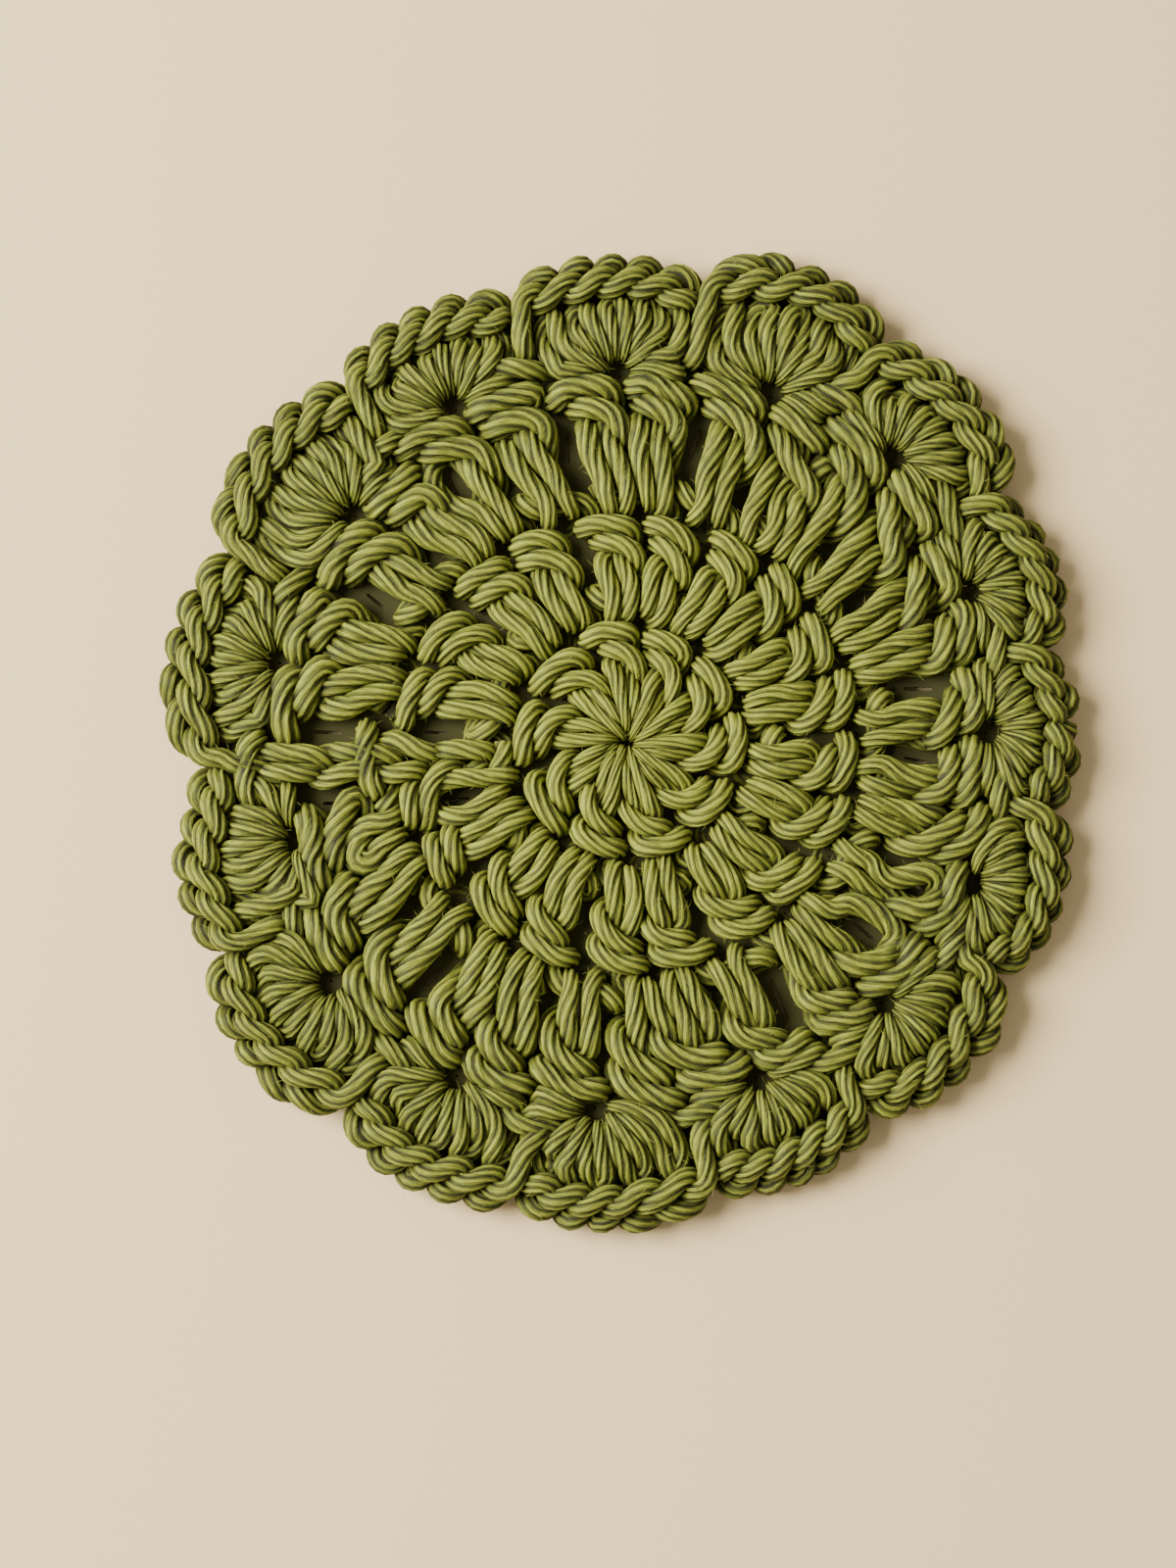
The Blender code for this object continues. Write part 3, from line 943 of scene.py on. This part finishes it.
def lay_fibres(name, tubes):
    """Short fibres that stand off the yarn, each a thin closed tube that ends in a point."""
    rings, middle, crevice = (joined(tubes, key) for key in ("rings", "middle", "crevice"))
    # Steps of two irrational shares spread the places evenly, and each run gives the same.
    number = np.arange(1, TRIED + 1)
    row = 1 + (np.modf(number * 0.6180339887)[0] * (len(rings) - 3)).astype(int)
    corner = (np.modf(number * 0.7548776662)[0] * rings.shape[1]).astype(int)
    # The last ring of a strand has no next one: the ring after it is far away.
    same_strand = np.linalg.norm(middle[row + 1] - middle[row], axis=1) < 2
    free = (crevice[row, corner] < 0.1) & same_strand
    row, corner = row[free], corner[free]
    root = rings[row, corner]
    off = unit(root - middle[row])
    along = unit(middle[row + 1] - middle[row])
    side = np.cross(off, along)
    # Each fibre stands off the yarn, leans along it and to one side, and bows a little.
    wave = np.sin(np.arange(len(row)) * 2.4)[:, None]
    turn = np.cos(np.arange(len(row)) * 1.7)[:, None]
    reach = 0.45 + 0.35 * np.abs(turn)
    bow = root + off * reach * 0.45 + along * wave * 0.5 + side * turn * 0.35
    tip = root + off * reach + along * wave * 1.3 + side * turn * 0.9
    tip[:, 2] = np.maximum(tip[:, 2], LOWEST)
    lean = unit(tip - root)
    across = unit(side * wave * 1.3 - along * turn * 0.9)
    above = np.cross(lean, across)
    # Three corners at the foot, three at the bow and one at the tip.
    corners = []
    for place, times in ((root - off * BURIED, 1.0), (bow, 0.8)):
        for degrees in (0.0, 120.0, 240.0):
            around = math.radians(degrees)
            out = across * math.cos(around) + above * math.sin(around)
            corners.append(place + out * FIBRE / 2 * times)
    corners.append(tip)
    corners = np.stack(corners, axis=1).reshape(-1, 3)
    one = [(2, 1, 0), (0, 1, 4, 3), (1, 2, 5, 4), (2, 0, 3, 5), (3, 4, 6), (4, 5, 6), (5, 3, 6)]
    faces = [[FIBRE_CORNERS * n + c for c in face] for n in range(len(row)) for face in one]
    return smooth_piece(name, corners, faces)


fibres = lay_fibres("loose_fibres", tubes)
print("Loose fibres:", len(fibres.data.vertices) // FIBRE_CORNERS)

# %% [markdown]
# ## The layer inside the mat
#
# Between the loops on top and those underneath runs more yarn, which hardly shows. A dark, flat
# layer stands for it, so that nobody looks through the small chinks between strands to the
# table, while the holes and gaps of the pattern stay open. It starts as one flat face with the
# rim's outline. Solidify gives it its thickness, and a Boolean cuts the slots, all of them
# with one set of punches, because that is quicker and safer than a cut for each.

# %% A flat shape made thick
INSET = 2.8  # how far inside the rim's outline the layer ends
LAYER_HEIGHT = 2.2  # its middle above the table
LAYER = 0.5  # its thickness


def flat_shape(name, outline, height):
    """A flat face with this outline at this height, in millimetres."""
    centre = box_centre()
    places = [((x - centre[0]) / 1000, (y - centre[1]) / 1000, height / 1000) for x, y in outline]
    shape = bmesh.new()
    shape.faces.new([shape.verts.new(place) for place in places])
    mesh = bpy.data.meshes.new(name)
    shape.to_mesh(mesh)
    shape.free()
    return put_in_scene(name, mesh)


degrees = np.arange(0, 360, 2)
outline = [polar(a, r - INSET) for a, r in zip(degrees, rim_radius(degrees))]
inner_layer = flat_shape("inner_layer", outline, LAYER_HEIGHT)
bpy.ops.object.select_all(action="DESELECT")
bpy.context.view_layer.objects.active = inner_layer
inner_layer.select_set(True)
thick = inner_layer.modifiers.new("thickness", "SOLIDIFY")
thick.thickness = LAYER / 1000
thick.offset = 0
bpy.ops.object.modifier_apply(modifier=thick.name)
print("The layer is", LAYER, "mm thick and has", len(inner_layer.data.polygons), "faces")

# %% Cut the holes and gaps through it
SLOT = 0.13  # a slot's half width, as a share of the radius that the strands keep open

bpy.ops.mesh.primitive_cylinder_add(vertices=20, radius=0.001, depth=0.01)
punch = bpy.context.object
rounded = np.array([vertex.co for vertex in punch.data.vertices])
round_faces = [list(face.vertices) for face in punch.data.polygons]
centre = box_centre()
rings, faces = [], []
for number, (middle, along, half, radius) in enumerate(kept_open()):
    # A punch is the cylinder made slim and drawn out along the gap.
    beside = np.array([-along[1], along[0]])
    slim = rounded[:, :2] * (radius * SLOT)
    lengthwise = slim[:, 0:1] + np.sign(slim[:, 0:1]) * half / 1000
    ring = rounded.copy()
    ring[:, :2] = lengthwise * along + slim[:, 1:2] * beside + (middle - centre) / 1000
    rings.append(ring)
    faces += [[corner + number * len(rounded) for corner in face] for face in round_faces]
punches = bpy.data.meshes.new("punches")
punches.from_pydata(np.concatenate(rings).tolist(), [], faces)
punch.data = punches
cut = inner_layer.modifiers.new("gaps", "BOOLEAN")
cut.operation = "DIFFERENCE"
cut.solver = "EXACT"
cut.object = punch
bpy.context.view_layer.objects.active = inner_layer
bpy.ops.object.modifier_apply(modifier=cut.name)
bpy.data.objects.remove(punch)
print("With", len(rings), "slots it has", len(inner_layer.data.polygons), "faces")

# %% [markdown]
# ## The cotton
#
# The yarn is plain cotton, spun from dyed fibres and left without a finish. So it is matt, with
# a dull gleam where its fibres lie in line. Its colour changes a little along the yarn, because
# dye takes unevenly. The material also paints shade into the colour: darker between the plies,
# in crevices, deep in the mat and towards the rim. One flat colour would look like plastic. So
# the material adds up how dark each place is, and one ramp of three greens turns the sum into a
# colour.


# %% Colours and nodes
def linear(hex_colour):
    """An sRGB hex colour as the linear numbers that Blender's shaders take."""
    parts = [int(hex_colour[i : i + 2], 16) / 255 for i in (1, 3, 5)]
    return [c / 12.92 if c <= 0.04045 else ((c + 0.055) / 1.055) ** 2.4 for c in parts] + [1.0]


def fill(tree, node, inputs):
    """Sets a node's sockets. inputs are pairs of a socket and a value, and a value that is
    another node's output is linked."""
    for socket, value in inputs:
        if isinstance(value, bpy.types.NodeSocket):
            tree.links.new(value, node.inputs[socket])
        else:
            node.inputs[socket].default_value = value


def add(tree, kind, inputs=(), **settings):
    """Adds a node with its inputs. settings are its own properties."""
    node = tree.nodes.new(kind)
    for name, value in settings.items():
        setattr(node, name, value)
    fill(tree, node, inputs)
    return node


def new_material(name):
    """A material, its tree of nodes and its main shader."""
    material = bpy.data.materials.new(name)
    material.use_nodes = True
    return material, material.node_tree, material.node_tree.nodes["Principled BSDF"]


LIGHT_GREEN = "#a5a93a"  # the crests of the plies in full light
MIDDLE_GREEN = "#676c1d"  # most of the yarn
DARK_GREEN = "#2b2a0a"  # painted shade at the bottom of a crevice
print("The middle green in linear numbers:", [round(c, 3) for c in linear(MIDDLE_GREEN)])

# %% Cotton yarn
STREAKS = 8.0  # streaks of fibres to the millimetre: real ones are finer and wouldn't show
PATCHES = 1.2  # patches of lighter and darker dye to the millimetre
SHADED_BELOW = 0.0050  # in metres: yarn that lies lower gets less light
MIDDLE_AT = 0.40  # where the middle green stands on the ramp
START = -1.11  # what the sum starts from, so that most of the yarn is near the middle green


def cotton_yarn():
    """Plain spun cotton: matt, with a dull gleam along its fibres, and with shade painted between
    plies, in crevices, low in the mat and towards the rim.
    """
    material, tree, shader = new_material("cotton_yarn")
    valley = add(tree, "ShaderNodeAttribute", attribute_name="ply_valley").outputs["Fac"]
    crevice = add(tree, "ShaderNodeAttribute", attribute_name="crevice").outputs["Fac"]
    straight = add(tree, "ShaderNodeAttribute", attribute_name="on_straight_yarn")
    patterns = []
    # Both patterns are drawn out along the yarn: the fibres ten times, the dye five times.
    for scale, drawn_out, detail in ((STREAKS, 10.0, 3.0), (PATCHES, 5.0, 1.0)):
        stretch = [("Vector", straight.outputs["Vector"]), ("Scale", (1, 1, 1 / drawn_out))]
        place = add(tree, "ShaderNodeMapping", stretch).outputs["Vector"]
        settings = [("Vector", place), ("Scale", scale), ("Detail", detail)]
        patterns.append(add(tree, "ShaderNodeTexNoise", settings).outputs["Fac"])
    streaks, patches = patterns
    pinched = add(tree, "ShaderNodeMath", [(0, crevice), (1, 1.5)], operation="POWER").outputs[0]
    place = add(tree, "ShaderNodeTexCoord").outputs["Object"]
    height = add(tree, "ShaderNodeSeparateXYZ", [("Vector", place)]).outputs["Z"]
    below = add(tree, "ShaderNodeMath", [(0, SHADED_BELOW), (1, height)], operation="SUBTRACT")
    depth = add(tree, "ShaderNodeMath", [(0, below.outputs[0]), (1, 0.0)], operation="MAXIMUM")
    outwards = add(tree, "ShaderNodeVectorMath", [(0, place)], operation="LENGTH")
    weights = [
        (valley, 0.85),  # painted shade between two plies
        (streaks, 1.4),  # between two streaks of fibres
        (patches, 0.6),  # where more dye took
        (pinched, 0.4),  # painted shade where strands touch
        (depth.outputs[0], 120.0),  # painted shade low in the mat, where light hardly reaches
        (outwards.outputs["Value"], 4.0),  # painted shade, darker towards the rim
    ]
    dark = START
    for source, weight in weights:
        terms = [(0, source), (1, weight), (2, dark)]
        dark = add(tree, "ShaderNodeMath", terms, operation="MULTIPLY_ADD").outputs[0]
    ramp = add(tree, "ShaderNodeValToRGB", [("Fac", dark)])
    stops = ramp.color_ramp.elements
    stops[0].color = linear(LIGHT_GREEN)
    stops[1].color = linear(DARK_GREEN)
    stops.new(MIDDLE_AT).color = linear(MIDDLE_GREEN)
    relief = [("Height", streaks), ("Strength", 1.0), ("Distance", 0.0002)]
    finish = [
        ("Base Color", ramp.outputs["Color"]),
        ("Normal", add(tree, "ShaderNodeBump", relief).outputs[0]),
        ("Roughness", 0.65),
        ("Specular IOR Level", 0.3),
        ("Sheen Weight", 0.06),
        ("Sheen Roughness", 0.5),
        ("Sheen Tint", linear("#d8d890")),
    ]
    fill(tree, shader, finish)
    return material


cotton = cotton_yarn()
for yarn in yarns:
    yarn.data.materials.append(cotton)
print("The yarn's material has", len(cotton.node_tree.nodes), "nodes")


# %% Plain materials
def plain(name, colour, roughness):
    """A material of one colour."""
    material, tree, shader = new_material(name)
    fill(tree, shader, [("Base Color", linear(colour)), ("Roughness", roughness)])
    return material


# Single cotton fibres let light through, so they look paler than the yarn that they come from.
fibres.data.materials.append(plain("cotton_fibre", "#aaac4b", 0.8))
# Cotton inside the mat is the same yarn, but it looks dark and dull there for want of light.
inner_layer.data.materials.append(plain("cotton_in_shade", "#3e3c14", 0.95))
print("Materials:", [made.data.materials[0].name for made in yarns + [fibres, inner_layer]])

# %% [markdown]
# ## Dressing the solid
#
# The pieces now take the place of the plain solid. Each rides on its body and stands in for
# the solid's node, which is hidden. The mat is soft and lies flat, and the inner layer spans all of
# it.

# %% Dress the solid
for piece in yarns + [fibres, inner_layer]:
    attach(piece, "root")
    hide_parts("crochet_coaster")
print("Pieces that dress the solid:", len(yarns) + 2)

# %% [markdown]
# ## The table, the light and the camera
#
# The coaster lies on a plain, pale board. Light falls from a window at the left, low enough to
# shade one side of every strand, and the room gives the rest. A point light would throw hard
# shadows between the loops, so the window is a square lamp. The camera looks down almost
# straight, as one does at a table.

# %% The board and the light
ROOM_LIGHT = 0.37
WINDOW_PLACE = Vector((-0.72, 0.12, 0.62))  # in metres
WINDOW_SIDE = 0.60  # in metres
WINDOW_WATTS = 25.5

bpy.ops.mesh.primitive_plane_add(size=6, location=(0, 0, 0))
floor = bpy.context.object
floor.name = "floor"
# Pale paper-faced board: nearly matt, and a little warm.
floor.data.materials.append(plain("plain_board", "#ffe0a4", 0.7))

world = bpy.data.worlds.new("soft_room")
bpy.context.scene.world = world
world.use_nodes = True
room = world.node_tree.nodes["Background"]
fill(world.node_tree, room, [("Color", (1.0, 0.97, 0.93, 1)), ("Strength", ROOM_LIGHT)])

window_light = bpy.data.lights.new("window", "AREA")
window_light.size = WINDOW_SIDE
window_light.energy = WINDOW_WATTS
window = put_in_scene("window", window_light)
window.location = WINDOW_PLACE
window.rotation_euler = (-WINDOW_PLACE).to_track_quat("-Z", "Y").to_euler()
print("The window stands", round(WINDOW_PLACE.length, 2), "m from the coaster")

# %% The camera
AZIMUTH, ELEVATION, DISTANCE = -110.0, 84.0, 0.45
TARGET = Vector((-0.0040, -0.0056, 0.003))
VIEW_WIDTH = 0.13983  # metres from side to side of the picture, at the target
SENSOR = 36

camera_data = bpy.data.cameras.new("camera")
camera = put_in_scene("camera", camera_data)
bpy.context.scene.camera = camera
turn, rise = math.radians(AZIMUTH), math.radians(ELEVATION)
toward = Vector((math.cos(turn) * math.cos(rise), math.sin(turn) * math.cos(rise), math.sin(rise)))
# The picture's upright side follows +Y, and the three directions make the camera's own axes.
upward = (Vector((0, 1, 0)) - toward * toward.y).normalized()
facing = Matrix((upward.cross(toward), upward, toward)).transposed()
camera.matrix_world = Matrix.Translation(TARGET + toward * DISTANCE) @ facing.to_4x4()
camera_data.sensor_fit = "HORIZONTAL"
camera_data.sensor_width = SENSOR
camera_data.lens = SENSOR * DISTANCE / VIEW_WIDTH
print("The lens is", round(camera_data.lens, 1), "mm long")

# %% [markdown]
# ## Finish
#
# The last cell brings the scene up to date.

# %% Finish
bpy.context.view_layer.update()
